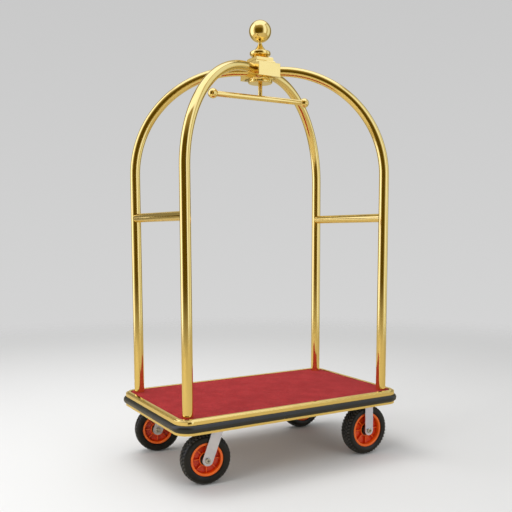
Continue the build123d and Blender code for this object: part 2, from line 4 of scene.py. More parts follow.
import bmesh
import bpy
from mathutils import Matrix, Vector, noise


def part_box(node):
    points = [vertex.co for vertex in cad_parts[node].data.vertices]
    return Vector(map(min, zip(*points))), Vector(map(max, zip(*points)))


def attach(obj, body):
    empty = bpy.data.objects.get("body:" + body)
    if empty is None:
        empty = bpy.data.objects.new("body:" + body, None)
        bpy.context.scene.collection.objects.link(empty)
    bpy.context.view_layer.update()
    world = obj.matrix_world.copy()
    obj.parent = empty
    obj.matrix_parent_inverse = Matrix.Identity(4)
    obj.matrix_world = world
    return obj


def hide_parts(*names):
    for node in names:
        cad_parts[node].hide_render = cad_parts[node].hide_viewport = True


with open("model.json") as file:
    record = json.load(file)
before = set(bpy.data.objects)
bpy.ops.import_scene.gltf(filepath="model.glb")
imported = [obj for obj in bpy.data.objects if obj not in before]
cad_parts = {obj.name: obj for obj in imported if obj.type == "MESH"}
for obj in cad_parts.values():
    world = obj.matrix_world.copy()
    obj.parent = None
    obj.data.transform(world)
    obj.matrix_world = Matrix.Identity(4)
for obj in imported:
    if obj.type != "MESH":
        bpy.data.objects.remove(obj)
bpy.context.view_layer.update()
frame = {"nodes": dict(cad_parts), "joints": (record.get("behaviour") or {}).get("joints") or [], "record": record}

nodes = frame["nodes"]
sides = {"front": -1, "back": 1}
ends = {"left": -1, "right": 1}

# The camera, the studio and the floor

view = {
    "place": (-1.578, -2.660, 0.970),
    "heading": radians(30.31),   # from +Y towards +X
    "tilt": radians(-1.924),
    "roll": radians(-0.12),
    "lens": 49.52,
    "sensor": 36.0,
}

cameraData = bpy.data.cameras.new("camera")
cameraData.lens = view["lens"]
cameraData.sensor_width = view["sensor"]
camera = bpy.data.objects.new("camera", cameraData)
bpy.context.scene.collection.objects.link(camera)
camera.matrix_world = (
    Matrix.Translation(view["place"])
    @ Matrix.Rotation(-view["heading"], 4, "Z")
    @ Matrix.Rotation(pi / 2 + view["tilt"], 4, "X")
    @ Matrix.Rotation(view["roll"], 4, "Z")
)
bpy.context.scene.camera = camera
bpy.context.scene.view_settings.view_transform = "Standard"
print("camera set")


def makeGroup(name, inputs, outputs):
    group = bpy.data.node_groups.new(name, "ShaderNodeTree")
    for label, kind, value in inputs:
        socket = group.interface.new_socket(name=label, in_out="INPUT", socket_type=kind)
        if value is not None:
            socket.default_value = value
    for label, kind in outputs:
        group.interface.new_socket(name=label, in_out="OUTPUT", socket_type=kind)
    start = group.nodes.new("NodeGroupInput")
    end = group.nodes.new("NodeGroupOutput")
    return group, start.outputs, end.inputs


def addNode(tree, kind, links=None, **settings):
    # links: socket name or number -> an output to join to it, or a plain value
    node = tree.nodes.new(kind)
    for key, value in settings.items():
        setattr(node, key, value)
    for key, value in (links or {}).items():
        if isinstance(value, bpy.types.NodeSocket):
            tree.links.new(value, node.inputs[key])
        else:
            node.inputs[key].default_value = value
    return node


def calculate(tree, operation, *values):
    links = {number: value for number, value in enumerate(values)}
    return addNode(tree, "ShaderNodeMath", links, operation=operation).outputs[0]


def remap(tree, value, low, high, newLow=0.0, newHigh=1.0, smooth=True):
    links = {"Value": value, "From Min": low, "From Max": high, "To Min": newLow, "To Max": newHigh}
    kind = "SMOOTHSTEP" if smooth else "LINEAR"
    return addNode(tree, "ShaderNodeMapRange", links, interpolation_type=kind).outputs["Result"]


def mixColor(tree, factor, first, second, blend="MIX"):
    links = {0: factor, 6: first, 7: second}
    return addNode(tree, "ShaderNodeMix", links, data_type="RGBA", blend_type=blend).outputs[2]


# The studio's softboxes and its dark side, as they show in polished metal. Turn is measured from
# the camera's side of the cart towards the right, and width and height are whole angles.
studio = {
    "wall": (0.56, 0.50, 0.34),
    "daylight": (0.62, 0.62, 0.62),
    "patches": [
        {"turn": -94, "rise": 14, "width": 40, "height": 78, "edge": 0.10, "glow": (1.50, 1.52, 1.85)},
        {"turn": 53, "rise": 14, "width": 26, "height": 74, "edge": 0.08, "glow": (1.04, 1.12, 1.34)},
        {"turn": 101, "rise": 12, "width": 28, "height": 70, "edge": 0.10, "glow": (0.84, 0.90, 0.98)},
        {"turn": 140, "rise": 12, "width": 24, "height": 70, "edge": 0.12, "glow": (0.24, 0.22, 0.14)},
        {"turn": -140, "rise": 12, "width": 24, "height": 70, "edge": 0.12, "glow": (0.26, 0.23, 0.15)},
        {"turn": 0, "rise": 90, "width": 62, "height": 62, "edge": 0.16, "glow": (1.30, 1.36, 1.70)},
    ],
    "horizon": (0.665, 0.665, 0.665),
    "sky": (0.575, 0.575, 0.575),
    "floor": (0.80, 0.80, 0.795),
    # painted reflection: the floor in a browner colour that only metal sees
    "floorMirrored": (0.66, 0.58, 0.42),   # how the floor shows in metal
    "floorReach": 3.0,
    "floorFade": 2.2,
}

# The dark screen behind the camera, which only polished surfaces show: a glowing sheet that paints their
# reflections, darker low down and paler higher up
screen = {
    "turn": radians(-13), "distance": 2.5, "halfWidth": 2.45, "bottom": 0.05, "top": 4.8, "edge": 0.55,
    "dark": (0.100, 0.062, 0.002), "pale": (0.36, 0.28, 0.12), "darkTo": 2.3, "paleFrom": 3.8,
}


def makePatchGroup():
    group, given, result = makeGroup(
        "softboxPatch",
        [("Toward", "NodeSocketVector", None), ("Across", "NodeSocketVector", None),
         ("Upward", "NodeSocketVector", None), ("Half Width", "NodeSocketFloat", 0.5),
         ("Half Height", "NodeSocketFloat", 0.5), ("Edge", "NodeSocketFloat", 0.1)],
        [("Mask", "NodeSocketFloat")],
    )
    heading = addNode(group, "ShaderNodeTexCoord").outputs["Generated"]

    def along(direction):
        links = {0: heading, 1: given[direction]}
        return addNode(group, "ShaderNodeVectorMath", links, operation="DOT_PRODUCT").outputs["Value"]

    depth = along("Toward")
    ahead = calculate(group, "GREATER_THAN", depth, 0.02)
    mask = ahead
    for direction, half in (("Across", "Half Width"), ("Upward", "Half Height")):
        reach = calculate(group, "ABSOLUTE", calculate(group, "DIVIDE", along(direction), depth))
        far = calculate(group, "ADD", given[half], given["Edge"])
        inside = remap(group, reach, given[half], far, 1.0, 0.0)
        mask = calculate(group, "MULTIPLY", mask, inside)
    group.links.new(mask, result["Mask"])
    return group


def makeStudio():
    world = bpy.data.worlds.new("studio")
    bpy.context.scene.world = world
    world.use_nodes = True
    tree = world.node_tree
    tree.nodes.clear()
    patchGroup = makePatchGroup()
    toCamera = atan2(-cos(view["heading"]), -sin(view["heading"]))
    glow = studio["wall"] + (1,)
    for patch in studio["patches"]:
        turn, rise = toCamera + radians(patch["turn"]), radians(patch["rise"])
        toward = Vector((cos(turn) * cos(rise), sin(turn) * cos(rise), sin(rise)))
        across = Vector((-sin(turn), cos(turn), 0))
        links = {
            "Toward": toward, "Across": across, "Upward": across.cross(toward),
            "Half Width": tan(radians(patch["width"] / 2)), "Edge": patch["edge"],
            "Half Height": tan(radians(patch["height"] / 2)),
        }
        mask = addNode(tree, "ShaderNodeGroup", node_tree=patchGroup)
        for name, value in links.items():
            mask.inputs[name].default_value = value
        glow = mixColor(tree, mask.outputs["Mask"], glow, patch["glow"] + (1,))
    heading = addNode(tree, "ShaderNodeTexCoord").outputs["Generated"]
    height = addNode(tree, "ShaderNodeSeparateXYZ", {0: heading}).outputs["Z"]
    upward = remap(tree, height, -0.16, 0.36, smooth=False)
    backdrop = mixColor(tree, upward, studio["horizon"] + (1,), studio["sky"] + (1,))
    light = addNode(tree, "ShaderNodeLightPath")
    seen = mixColor(tree, light.outputs["Is Glossy Ray"], studio["daylight"] + (1,), glow)
    seen = mixColor(tree, light.outputs["Is Camera Ray"], seen, backdrop)
    background = addNode(tree, "ShaderNodeBackground", {"Color": seen, "Strength": 1.0})
    addNode(tree, "ShaderNodeOutputWorld", {"Surface": background.outputs[0]})


lamps = {
    "overheadLamp": {"place": (-0.9, 0.9, 3.6), "aim": (0.0, 0.0, 0.3), "size": (2.2, 2.2), "power": 62},
    "leftLamp": {"place": (-3.2, -0.9, 1.9), "aim": (0.0, 0.0, 0.7), "size": (1.2, 2.0), "power": 30},
    "frontLamp": {"place": (0.6, -3.6, 1.6), "aim": (0.0, 0.0, 0.5), "size": (1.6, 1.6), "power": 16},
}


def makeLamps():
    for name, lamp in lamps.items():
        data = bpy.data.lights.new(name, "AREA")
        data.shape = "RECTANGLE"
        data.size, data.size_y = lamp["size"]
        data.energy = lamp["power"]
        light = bpy.data.objects.new(name, data)
        light.location = lamp["place"]
        light.rotation_euler = (Vector(lamp["aim"]) - light.location).to_track_quat("-Z", "Y").to_euler()
        light.visible_glossy = False   # the softboxes that the metal shows are the studio's own
        light.visible_camera = False
        bpy.context.scene.collection.objects.link(light)


def makeFloor():
    material = bpy.data.materials.new("paleFloor")
    material.use_nodes = True
    tree = material.node_tree
    tree.nodes.clear()
    place = addNode(tree, "ShaderNodeTexCoord").outputs["Object"]
    flat = addNode(tree, "ShaderNodeVectorMath", {0: place, 1: (1, 1, 0)}, operation="MULTIPLY").outputs[0]
    away = addNode(tree, "ShaderNodeVectorMath", {0: flat}, operation="LENGTH").outputs["Value"]
    fade = remap(tree, away, studio["floorReach"], studio["floorReach"] + studio["floorFade"])
    light = addNode(tree, "ShaderNodeLightPath")
    # painted reflection: glossy rays see the floor in a browner colour
    color = mixColor(
        tree, light.outputs["Is Glossy Ray"], studio["floor"] + (1,), studio["floorMirrored"] + (1,)
    )
    shade = addNode(tree, "ShaderNodeBsdfDiffuse", {"Color": color})
    clear = addNode(tree, "ShaderNodeBsdfTransparent")
    both = addNode(tree, "ShaderNodeMixShader", {0: fade, 1: shade.outputs[0], 2: clear.outputs[0]})
    addNode(tree, "ShaderNodeOutputMaterial", {"Surface": both.outputs[0]})
    bm = bmesh.new()
    reach = studio["floorReach"] + studio["floorFade"]
    bmesh.ops.create_circle(bm, cap_ends=True, radius=reach, segments=96)
    mesh = bpy.data.meshes.new("floor")
    bm.to_mesh(mesh)
    bm.free()
    mesh.materials.append(material)
    floor = bpy.data.objects.new("floor", mesh)
    bpy.context.scene.collection.objects.link(floor)


def makeScreen():
    material = bpy.data.materials.new("darkScreen")
    material.use_nodes = True
    tree = material.node_tree
    tree.nodes.clear()
    place = addNode(tree, "ShaderNodeTexCoord").outputs["Object"]
    spot = addNode(tree, "ShaderNodeSeparateXYZ", {0: place}).outputs
    height = remap(tree, spot["Z"], screen["darkTo"], screen["paleFrom"])
    # painted reflection: the sheet's glow, dark below and paler above
    color = mixColor(tree, height, screen["dark"] + (1,), screen["pale"] + (1,))
    shine = addNode(tree, "ShaderNodeEmission", {"Color": color})
    clear = addNode(tree, "ShaderNodeBsdfTransparent")
    across = addNode(tree, "ShaderNodeVectorMath", {0: place, 1: (1, 1, 0)}, operation="MULTIPLY").outputs[0]
    middle = Vector((-sin(view["heading"]), -cos(view["heading"]), 0))
    middle.rotate(Matrix.Rotation(screen["turn"], 3, "Z"))
    side = Vector((-middle.y, middle.x, 0))
    links = {0: across, 1: side}
    along = addNode(tree, "ShaderNodeVectorMath", links, operation="DOT_PRODUCT").outputs["Value"]
    reach = calculate(tree, "ABSOLUTE", along)
    solid = remap(tree, reach, screen["halfWidth"] - screen["edge"], screen["halfWidth"], 1.0, 0.0)
    for start, end in ((screen["bottom"], 1), (screen["top"], -1)):
        fade = remap(tree, spot["Z"], *sorted((start, start + end * screen["edge"])))
        fade = fade if end > 0 else calculate(tree, "SUBTRACT", 1.0, fade)
        solid = calculate(tree, "MULTIPLY", solid, fade)
    both = addNode(tree, "ShaderNodeMixShader", {0: solid, 1: clear.outputs[0], 2: shine.outputs[0]})
    addNode(tree, "ShaderNodeOutputMaterial", {"Surface": both.outputs[0]})
    bm = bmesh.new()
    bmesh.ops.create_grid(bm, x_segments=2, y_segments=2, size=1.0)
    height = (screen["top"] - screen["bottom"]) / 2
    turned = Matrix((side, Vector((0, 0, 1)), middle)).transposed().to_4x4()
    centre = middle * screen["distance"] + Vector((0, 0, screen["bottom"] + height))
    size = Matrix.Diagonal((screen["halfWidth"], height, 1, 1))
    bmesh.ops.transform(bm, matrix=Matrix.Translation(centre) @ turned @ size, verts=bm.verts)
    mesh = bpy.data.meshes.new("screen")
    bm.to_mesh(mesh)
    bm.free()
    mesh.materials.append(material)
    panel = bpy.data.objects.new("screen", mesh)
    bpy.context.scene.collection.objects.link(panel)
    panel.visible_camera = panel.visible_diffuse = panel.visible_shadow = False


makeStudio()
makeLamps()
makeFloor()
makeScreen()
print("studio lit")

# Shader groups that several finishes share


def makeWearGroup():
    # soft cloudy handling marks and fine streaks for metal and plastic
    group, given, result = makeGroup(
        "handlingMarks",
        [("Cloud Scale", "NodeSocketFloat", 9.0), ("Streak Scale", "NodeSocketFloat", 240.0),
         ("Stretch", "NodeSocketVector", (1.0, 1.0, 1.0))],
        [("Clouds", "NodeSocketFloat"), ("Streaks", "NodeSocketFloat")],
    )
    place = addNode(group, "ShaderNodeTexCoord").outputs["Object"]
    links = {"Vector": place, "Scale": given["Cloud Scale"], "Detail": 4.0}
    clouds = addNode(group, "ShaderNodeTexNoise", links)
    links = {0: place, 1: given["Stretch"]}
    pulled = addNode(group, "ShaderNodeVectorMath", links, operation="MULTIPLY").outputs[0]
    links = {"Vector": pulled, "Scale": given["Streak Scale"], "Detail": 3.0}
    streaks = addNode(group, "ShaderNodeTexNoise", links)
    group.links.new(remap(group, clouds.outputs["Fac"], 0.3, 0.72), result["Clouds"])
    group.links.new(streaks.outputs["Fac"], result["Streaks"])
    return group


def makePileGroup():
    # cut pile: tufts close together, and patches where the pile lies another way
    group, given, result = makeGroup(
        "cutPile",
        [("Tufts", "NodeSocketFloat", 420.0), ("Patches", "NodeSocketFloat", 16.0)],
        [("Tuft", "NodeSocketFloat"), ("Patch", "NodeSocketFloat"), ("Height", "NodeSocketFloat")],
    )
    place = addNode(group, "ShaderNodeTexCoord").outputs["Object"]
    tufts = addNode(group, "ShaderNodeTexVoronoi", {"Vector": place, "Scale": given["Tufts"]})
    fuzz = addNode(group, "ShaderNodeTexNoise", {"Vector": place, "Scale": 900.0, "Detail": 2.0})
    links = {"Vector": place, "Scale": given["Patches"], "Detail": 5.0}
    patches = addNode(group, "ShaderNodeTexNoise", links)
    tuft = calculate(group, "MULTIPLY", tufts.outputs["Distance"], 1.2)
    height = calculate(group, "SUBTRACT", fuzz.outputs["Fac"], tuft)
    group.links.new(tuft, result["Tuft"])
    group.links.new(remap(group, patches.outputs["Fac"], 0.34, 0.68), result["Patch"])
    group.links.new(height, result["Height"])
    return group


wearGroup = makeWearGroup()
pileGroup = makePileGroup()


def startFinish(name):
    material = bpy.data.materials.new(name)
    material.use_nodes = True
    tree = material.node_tree
    tree.nodes.clear()
    shader = tree.nodes.new("ShaderNodeBsdfPrincipled")
    addNode(tree, "ShaderNodeOutputMaterial", {"Surface": shader.outputs[0]})
    return material, tree, shader


def addBump(tree, shader, height, distance, strength=1.0):
    links = {"Height": height, "Distance": distance, "Strength": strength}
    bump = addNode(tree, "ShaderNodeBump", links)
    tree.links.new(bump.outputs["Normal"], shader.inputs["Normal"])


def addMarks(tree, cloudScale, streakScale, stretch=(1, 1, 1)):
    marks = addNode(tree, "ShaderNodeGroup", node_tree=wearGroup)
    marks.inputs["Cloud Scale"].default_value = cloudScale
    marks.inputs["Streak Scale"].default_value = streakScale
    marks.inputs["Stretch"].default_value = stretch
    return marks.outputs["Clouds"], marks.outputs["Streaks"]


# One dictionary of values for each finish
goldFinish = {"light": (0.92, 0.72, 0.28), "deep": (0.88, 0.67, 0.23), "smooth": 0.07, "rough": 0.13}
rubberFinish = {"deep": (0.010, 0.011, 0.009), "light": (0.018, 0.019, 0.016), "smooth": 0.24, "rough": 0.38}
tyreFinish = {
    "deep": (0.004, 0.004, 0.004), "light": (0.009, 0.009, 0.009),
    "smooth": 0.40, "rough": 0.58, "shine": 0.4,
}
# the tread blocks in a paler grey than the carcass
treadFinish = {"deep": (0.020, 0.020, 0.019), "light": (0.070, 0.068, 0.062), "smooth": 0.46, "rough": 0.70}
# the rim's recess colour is painted shade, laid into the hollows of the moulding by ambient occlusion
rimFinish = {
    "light": (0.95, 0.165, 0.012), "deep": (0.84, 0.115, 0.006), "recess": (0.66, 0.030, 0.001),
    "smooth": 0.24, "rough": 0.36, "reach": 0.030, "shadedAt": 0.50, "openAt": 0.92,
}
zincFinish = {"light": (0.74, 0.76, 0.92), "deep": (0.66, 0.68, 0.83), "smooth": 0.34, "rough": 0.50}
steelFinish = {"light": (0.66, 0.65, 0.63), "deep": (0.50, 0.49, 0.47), "smooth": 0.22, "rough": 0.42}
paintFinish = {"light": (0.030, 0.030, 0.032), "deep": (0.018, 0.018, 0.019), "smooth": 0.30, "rough": 0.46}
pileFinish = {
    "light": (0.57, 0.031, 0.035), "deep": (0.45, 0.016, 0.020), "shadow": (0.26, 0.006, 0.008),
    "rough": 0.92, "sheen": 0.06, "sheenRough": 0.45, "sheenTint": (1.0, 0.35, 0.35),
    "bump": 0.0016, "bumpStrength": 0.9,
}
woodFinish = {
    "light": (0.46, 0.30, 0.165), "deep": (0.30, 0.18, 0.09), "smooth": 0.42, "rough": 0.62,
    "cloudScale": 5.0, "streakScale": 38.0, "stretch": (0.12, 1.0, 1.0), "bump": 0.0003,
}


def makePlainFinish(name, finish, metal, cloudScale, streakScale, bump):
    material, tree, shader = startFinish(name)
    clouds, streaks = addMarks(tree, cloudScale, streakScale)
    mottled = calculate(tree, "MULTIPLY_ADD", streaks, 0.5, calculate(tree, "MULTIPLY", clouds, 0.6))
    color = mixColor(tree, mottled, finish["light"] + (1,), finish["deep"] + (1,))
    if "recess" in finish:
        # painted shade: a deep red where the moulding shades itself, laid on by ambient occlusion
        links = {"Distance": finish["reach"]}
        hollow = addNode(tree, "ShaderNodeAmbientOcclusion", links, samples=8, only_local=True)
        shown = remap(tree, hollow.outputs["AO"], finish["shadedAt"], finish["openAt"])
        color = mixColor(tree, shown, finish["recess"] + (1,), color)
    tree.links.new(color, shader.inputs["Base Color"])
    shader.inputs["Metallic"].default_value = metal
    rough = remap(tree, mottled, 0.1, 0.9, finish["smooth"], finish["rough"], smooth=False)
    tree.links.new(rough, shader.inputs["Roughness"])
    shader.inputs["Specular IOR Level"].default_value = finish.get("shine", 0.5)
    if bump:
        addBump(tree, shader, streaks, bump)
    return material


def makeCarpetFinish():
    material, tree, shader = startFinish("carpetPile")
    pile = addNode(tree, "ShaderNodeGroup", node_tree=pileGroup)
    lying = mixColor(tree, pile.outputs["Patch"], pileFinish["deep"] + (1,), pileFinish["light"] + (1,))
    depth = remap(tree, pile.outputs["Tuft"], 0.35, 1.0)
    color = mixColor(tree, depth, lying, pileFinish["shadow"] + (1,))
    tree.links.new(color, shader.inputs["Base Color"])
    shader.inputs["Roughness"].default_value = pileFinish["rough"]
    shader.inputs["Sheen Weight"].default_value = pileFinish["sheen"]
    shader.inputs["Sheen Roughness"].default_value = pileFinish["sheenRough"]
    shader.inputs["Sheen Tint"].default_value = pileFinish["sheenTint"] + (1,)
    addBump(tree, shader, pile.outputs["Height"], pileFinish["bump"], pileFinish["bumpStrength"])
    return material


def makeWoodFinish():
    material, tree, shader = startFinish("plywoodGrain")
    scales = woodFinish["cloudScale"], woodFinish["streakScale"]
    clouds, streaks = addMarks(tree, *scales, woodFinish["stretch"])
    grain = calculate(tree, "MULTIPLY_ADD", clouds, 0.35, calculate(tree, "MULTIPLY", streaks, 0.9))
    color = mixColor(tree, grain, woodFinish["light"] + (1,), woodFinish["deep"] + (1,))
    tree.links.new(color, shader.inputs["Base Color"])
    rough = remap(tree, grain, 0.1, 0.9, woodFinish["smooth"], woodFinish["rough"], smooth=False)
    tree.links.new(rough, shader.inputs["Roughness"])
    addBump(tree, shader, streaks, woodFinish["bump"])
    return material


finishes = {
    "polished_gold": makePlainFinish("polishedGold", goldFinish, 1.0, 5.0, 60.0, 0.0),
    "dark_bumper": makePlainFinish("bumperRubber", rubberFinish, 0.0, 9.0, 700.0, 0.00008),
    "black_tyre": makePlainFinish("tyreRubber", tyreFinish, 0.0, 22.0, 900.0, 0.00012),
    "worn_tread": makePlainFinish("treadRubber", treadFinish, 0.0, 30.0, 500.0, 0.0001),
    "orange_rim": makePlainFinish("orangePlastic", rimFinish, 0.0, 20.0, 600.0, 0.00004),
    "zinc_steel": makePlainFinish("zincPlate", zincFinish, 1.0, 26.0, 520.0, 0.00003),
    "bright_steel": makePlainFinish("brightSteel", steelFinish, 1.0, 30.0, 700.0, 0.00003),
    "black_steel": makePlainFinish("blackPaint", paintFinish, 0.0, 14.0, 420.0, 0.00006),
    "red_carpet": makeCarpetFinish(),
    "plywood": makeWoodFinish(),
}
print("finishes mixed")

# Every CAD node starts with the finish of its slot

slotOf = {part["node"]: part["material_slot"] for part in frame["record"]["subparts"]}
bodyOf = {
    node: body for body, members in frame["record"]["behaviour"]["bodies"].items() for node in members
}
for name, node in nodes.items():
    node.data.materials.clear()
    node.data.materials.append(finishes[slotOf[name]])

# Tools that several pieces share


def arcThrough(first, middle, last, steps):
    # points along the arc through three points, in the plane of the outline
    (ax, ay), (bx, by), (cx, cy) = first, middle, last
    twice = 2 * (ax * (by - cy) + bx * (cy - ay) + cx * (ay - by))
    a, b, c = ax * ax + ay * ay, bx * bx + by * by, cx * cx + cy * cy
    mx = (a * (by - cy) + b * (cy - ay) + c * (ay - by)) / twice
    my = (a * (cx - bx) + b * (ax - cx) + c * (bx - ax)) / twice
    radius = hypot(ax - mx, ay - my)
    start = atan2(ay - my, ax - mx)
    sweep = atan2(cy - my, cx - mx) - start
    inside = (bx - ax) * (cy - ay) - (by - ay) * (cx - ax) > 0
    sweep = sweep % (2 * pi) if inside else -((-sweep) % (2 * pi))
    turns = [start + sweep * step / steps for step in range(steps + 1)]
    return [(mx + radius * cos(turn), my + radius * sin(turn)) for turn in turns]


def roundOff(corners, steps=3):
    # corners: (x, y, rounding); each rounded corner becomes a short arc
    outline = []
    for number, (x, y, rounding) in enumerate(corners):
        here = Vector((x, y))
        if not rounding:
            outline.append((x, y))
            continue
        back = (Vector(corners[number - 1][:2]) - here).normalized()
        ahead = (Vector(corners[(number + 1) % len(corners)][:2]) - here).normalized()
        half = back.angle(ahead) / 2
        start, end = here + back * rounding / tan(half), here + ahead * rounding / tan(half)
        centre = here + (back + ahead).normalized() * rounding / sin(half)
        middle = centre + (here - centre).normalized() * rounding
        outline += arcThrough(start, middle, end, steps)
    return outline


def turnOnY(bm, outline, steps):
    # outline: (distance from the axle, place along the axle)
    ring = [bm.verts.new((radius, along, 0)) for radius, along in outline]
    edges = [bm.edges.new(pair) for pair in zip(ring, ring[1:] + ring[:1])]
    bmesh.ops.spin(
        bm, geom=ring + edges, cent=(0, 0, 0), axis=(0, 1, 0), angle=2 * pi, steps=steps, use_merge=True
    )
    bmesh.ops.remove_doubles(bm, verts=bm.verts, dist=1e-6)


def repeatRoundY(bm, geometry, count):
    spacing = 2 * pi / count
    bmesh.ops.spin(
        bm, geom=geometry, cent=(0, 0, 0), axis=(0, 1, 0), angle=spacing * (count - 1),
        steps=count - 1, use_duplicate=True,
    )


def addBlock(bm, size, place, bevel, slant=0.0, taper=1.0):
    # a bevelled block with its top face drawn in by taper and its ends slanted
    block = bmesh.ops.create_cube(bm, size=1.0)["verts"]
    bmesh.ops.scale(bm, vec=size, verts=block)
    top = [corner for corner in block if corner.co.z > 0]
    bmesh.ops.scale(bm, vec=(taper, taper, 1), verts=top)
    for corner in block:
        corner.co.x += slant * corner.co.y
    if bevel:
        edges = list({edge for corner in block for edge in corner.link_edges})
        made = bmesh.ops.bevel(
            bm, geom=edges, offset=bevel, affect="EDGES", segments=1, profile=0.5, material=-1
        )
        block = list({corner for face in made["faces"] for corner in face.verts})
        block = list({corner for start in block for face in start.link_faces for corner in face.verts})
    bmesh.ops.transform(bm, matrix=place, verts=block)
    faces = list({face for corner in block for face in corner.link_faces})
    edges = list({edge for corner in block for edge in corner.link_edges})
    return block + edges + faces


def finishPiece(bm, name, slot, body, place=None, replaced=(), sharp=35, finish=None):
    bmesh.ops.recalc_face_normals(bm, faces=bm.faces)
    if place is not None:
        bmesh.ops.transform(bm, matrix=place, verts=bm.verts)
    mesh = bpy.data.meshes.new(name)
    bm.to_mesh(mesh)
    bm.free()
    for face in mesh.polygons:
        face.use_smooth = True
    mesh.set_sharp_from_angle(angle=radians(sharp))
    mesh.materials.append(finishes[finish or slot])
    piece = bpy.data.objects.new(name, mesh)
    bpy.context.scene.collection.objects.link(piece)
    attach(piece, body)
    if replaced:
        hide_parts(*replaced)
    return piece


# Polished tubes, turned parts and mouldings

smoothParts = {
    "sharp": 32,
    "merge": 0.000002,
    "names": [
        "post_front_left", "post_front_right", "post_back_left", "post_back_right", "crossbar_left",
        "crossbar_right", "hanging_rail", "rail_end_balls", "hanger_rod", "finial_collar", "finial_bell",
        "finial_ball", "hub_underplate", "top_trim", "bottom_trim", "bumper",
    ],
}


def makeSmoothPart(name):
    # the part's own surface, joined up so that it shades as one polished skin
    bm = bmesh.new()
    bm.from_mesh(nodes[name].data)
    bmesh.ops.remove_doubles(bm, verts=bm.verts, dist=smoothParts["merge"])
    camel = "".join(word.capitalize() for word in name.split("_"))
    finishPiece(bm, f"smooth{camel}", slotOf[name], bodyOf[name], replaced=[name], sharp=smoothParts["sharp"])


for name in smoothParts["names"]:
    makeSmoothPart(name)
print("tubes and mouldings smoothed")

# Wheels

tyreShape = {
    "halfWidth": 0.031, "beadHalf": 0.026, "shoulderHalf": 0.0262, "shoulderFall": 0.0062,
    "shoulderLift": 0.0008, "treadDepth": 0.0038, "seatDepth": 0.006, "seatHalf": 0.0208,
    "rimGap": 0.0001, "wallSteps": 14, "crownSteps": 12, "ridge": 0.0007, "ridgeSteps": (2, 10),
    "pitch": 0.0155, "blockRoot": 1.7, "blockBevel": 0.0006, "blockTaper": 0.92, "steps": 102,
    "rows": [
        {"across": 0.0, "width": 0.0088, "length": 0.66, "slant": 0.50, "shift": 0.0, "lean": 1.0},
        {"across": 0.0104, "width": 0.0078, "length": 0.62, "slant": -0.60, "shift": 0.5, "lean": 1.0},
        {"across": -0.0104, "width": 0.0078, "length": 0.62, "slant": -0.60, "shift": 0.5, "lean": 1.0},
        {"across": 0.0214, "width": 0.0112, "length": 0.50, "slant": 0.30, "shift": 0.0, "lean": 1.3},
        {"across": -0.0214, "width": 0.0112, "length": 0.50, "slant": 0.30, "shift": 0.0, "lean": 1.3},
    ],
}
rimShape = {
    "lipHalf": 0.026, "lipWidth": 0.0095, "lipRound": 0.0022, "seatDepth": 0.006, "barrelWall": 0.005,
    "webHalf": 0.004, "bossRadius": 0.029, "bossWall": 0.004, "bossHalf": 0.018, "hubRadius": 0.021,
    "ribs": 8, "ribThickness": 0.0042, "ribHalf": 0.0145, "ribRoot": 0.001, "ribBevel": 0.0008,
    "ribTaper": 0.985, "draft": 0.0008, "edgeRound": 0.0008, "barrelRound": 0.003, "webRound": 0.0022,
    "bossDraft": 0.0006, "bossRound": 0.0014, "boreDraft": 0.0002, "roundSteps": 4, "steps": 96,
}
hubShape = {
    "radius": 0.0208, "bore": 0.0176, "half": 0.0278, "flangeRadius": 0.0249, "flangeHalf": 0.0105,
    "boreRound": 0.0004, "endRound": 0.0012, "stepRound": 0.001, "flangeRound": 0.0006,
    "boreDraft": 0.0001, "sealHalf": 0.0165, "sleeveRadius": 0.0121, "steps": 72,
}


def wheelPlace(side, end):
    roll = next(joint for joint in frame["joints"] if joint["child"] == f"wheel_{side}_{end}")
    turn = atan2(-roll["axis"][0], roll["axis"][1])
    return Matrix.Translation(roll["pos_m"]) @ Matrix.Rotation(turn, 4, "Z")


def outerRadius(node):
    low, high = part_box(node)
    return (high.z - low.z) / 2


def makeTyre(side, end):
    shape = tyreShape
    tread = outerRadius(f"tyre_{side}_{end}")
    lip = outerRadius(f"rim_{side}_{end}") + shape["rimGap"]
    floor = tread - shape["treadDepth"]
    shoulder = (floor - shape["shoulderFall"] + shape["shoulderLift"], shape["shoulderHalf"])
    bulge = ((lip + tread) / 2, shape["halfWidth"])
    wall = arcThrough((lip, shape["beadHalf"]), bulge, shoulder, shape["wallSteps"])
    # a moulded ridge low on the wall, and another under the shoulder
    for start in shape["ridgeSteps"]:
        for step in (start, start + 1):
            radius, along = wall[step]
            wall[step] = (radius, along + shape["ridge"])
    crown = arcThrough(shoulder, (floor, 0), (shoulder[0], -shoulder[1]), shape["crownSteps"])
    back = [(radius, -along) for radius, along in reversed(wall)]
    seat = lip - shape["seatDepth"]
    half = shape["seatHalf"]
    bead = [(lip, -half), (seat, -half), (seat, half), (lip, half)]
    bm = bmesh.new()
    turnOnY(bm, wall + crown[1:-1] + back + bead, shape["steps"])
    finishPiece(
        bm, f"tyreRubber_{side}_{end}", "black_tyre", f"wheel_{side}_{end}", wheelPlace(side, end),
        replaced=[f"tyre_{side}_{end}"], sharp=32,
    )
    makeTread(side, end, tread)


